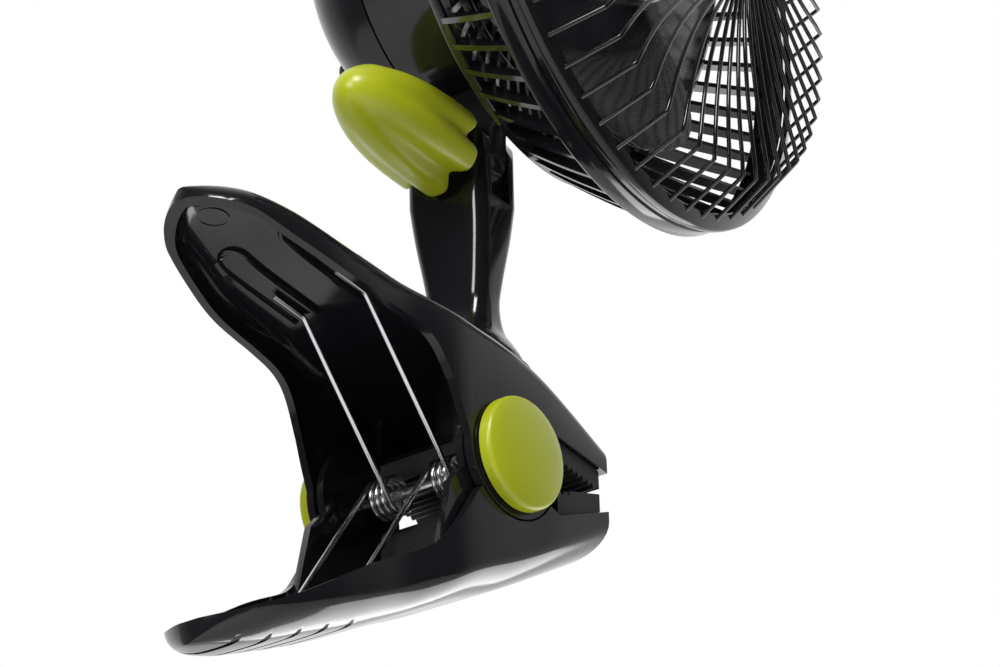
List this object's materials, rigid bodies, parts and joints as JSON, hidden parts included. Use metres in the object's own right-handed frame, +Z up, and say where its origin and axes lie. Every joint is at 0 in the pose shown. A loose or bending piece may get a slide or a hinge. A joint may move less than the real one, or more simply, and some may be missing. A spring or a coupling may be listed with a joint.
{
  "type": "clip fan",
  "caption": "Clamp-on desk fan: sprung two-shell clamp with rubber jaw pads, swivelling neck, tilting motor head and a caged propeller.",
  "frame": {"origin": "centre of the grip between the two rubber jaw pads, on the clamp's middle plane", "axes": "+Z up along the neck, +X from the jaw pin to the nose of the jaws, Y along the jaw pin"},
  "size_m": [0.2197, 0.1446, 0.3439],
  "materials": {
    "black_gloss": "high gloss moulded",
    "green_plastic": "satin moulded",
    "pad_rubber": "matte",
    "smoke_plastic": "glossy smoky",
    "grey_plastic": "satin",
    "resin": "moulded",
    "spring_steel": "bright plated",
    "steel": "zinc plated",
    "core_iron": "laminated",
    "brass": "turned",
    "copper": "enamelled wire"
  },
  "bodies": {
    "clamp": {"upper_clamp": "black_gloss", "upper_jaw_pad": "pad_rubber", "pivot_pin": "spring_steel", "pin_clip_near": "steel", "pin_clip_far": "steel", "pivot_cap_near": "green_plastic", "pivot_cap_far": "green_plastic", "spring_far": "spring_steel", "spring_near": "spring_steel"},
    "lower_jaw": {"lower_clamp": "black_gloss", "lower_jaw_pad": "pad_rubber"},
    "neck": {"neck": "black_gloss", "swivel_washer": "steel", "swivel_screw": "steel", "tilt_bolt": "steel", "tilt_washer": "steel"},
    "knob": {"tilt_knob": "green_plastic", "knob_insert": "brass"},
    "head": {"motor_housing": "black_gloss", "motor_cover": "black_gloss", "cover_screw_a": "steel", "cover_screw_b": "steel", "stator_core": "core_iron", "front_winding": "copper", "rear_winding": "copper", "motor_bracket": "steel", "front_bush": "brass", "rear_bush": "brass", "switch_body": "resin", "cord_gland": "pad_rubber", "rear_grille": "black_gloss", "grille_screw_1": "steel", "grille_screw_2": "steel", "grille_screw_3": "steel", "grille_screw_4": "steel", "front_grille": "black_gloss", "centre_disc": "black_gloss"},
    "propeller": {"motor_shaft": "steel", "rotor_core": "core_iron", "fan_blades": "smoke_plastic", "hub_spinner": "grey_plastic"},
    "dial": {"speed_knob": "black_gloss"}
  },
  "joints": [
    {"name": "jaw_hinge", "type": "hinge", "parent": "clamp", "child": "lower_jaw", "pos_m": [-0.028, 0, -0.001], "axis": [0, 1, 0], "range_deg": [0, 45], "stiffness_Nm_per_rad": 1, "springref_deg": -34.38, "deforming": ["spring_far", "spring_near"]},
    {"name": "neck_swivel", "type": "hinge", "parent": "clamp", "child": "neck", "pos_m": [-0.012, 0, 0.0375], "axis": [0, 0, 1], "range_deg": [-8, 172]},
    {"name": "head_tilt", "type": "hinge", "parent": "neck", "child": "head", "pos_m": [-0.012, 0, 0.1047], "axis": [0.9903, 0.1392, 0], "range_deg": [-75, 30]},
    {"name": "knob_turn", "type": "hinge", "parent": "neck", "child": "knob", "pos_m": [-0.012, 0, 0.1047], "axis": [-0.9903, -0.1392, 0], "range_deg": [-180, 180]},
    {"name": "propeller_spin", "type": "hinge", "parent": "head", "child": "propeller", "pos_m": [-0.012, 0, 0.1721], "axis": [0.1392, -0.9903, 0], "continuous": true},
    {"name": "dial_turn", "type": "hinge", "parent": "head", "child": "dial", "pos_m": [-0.012, 0, 0.1721], "axis": [0.1392, -0.9903, 0], "range_deg": [0, 80]}
  ]
}
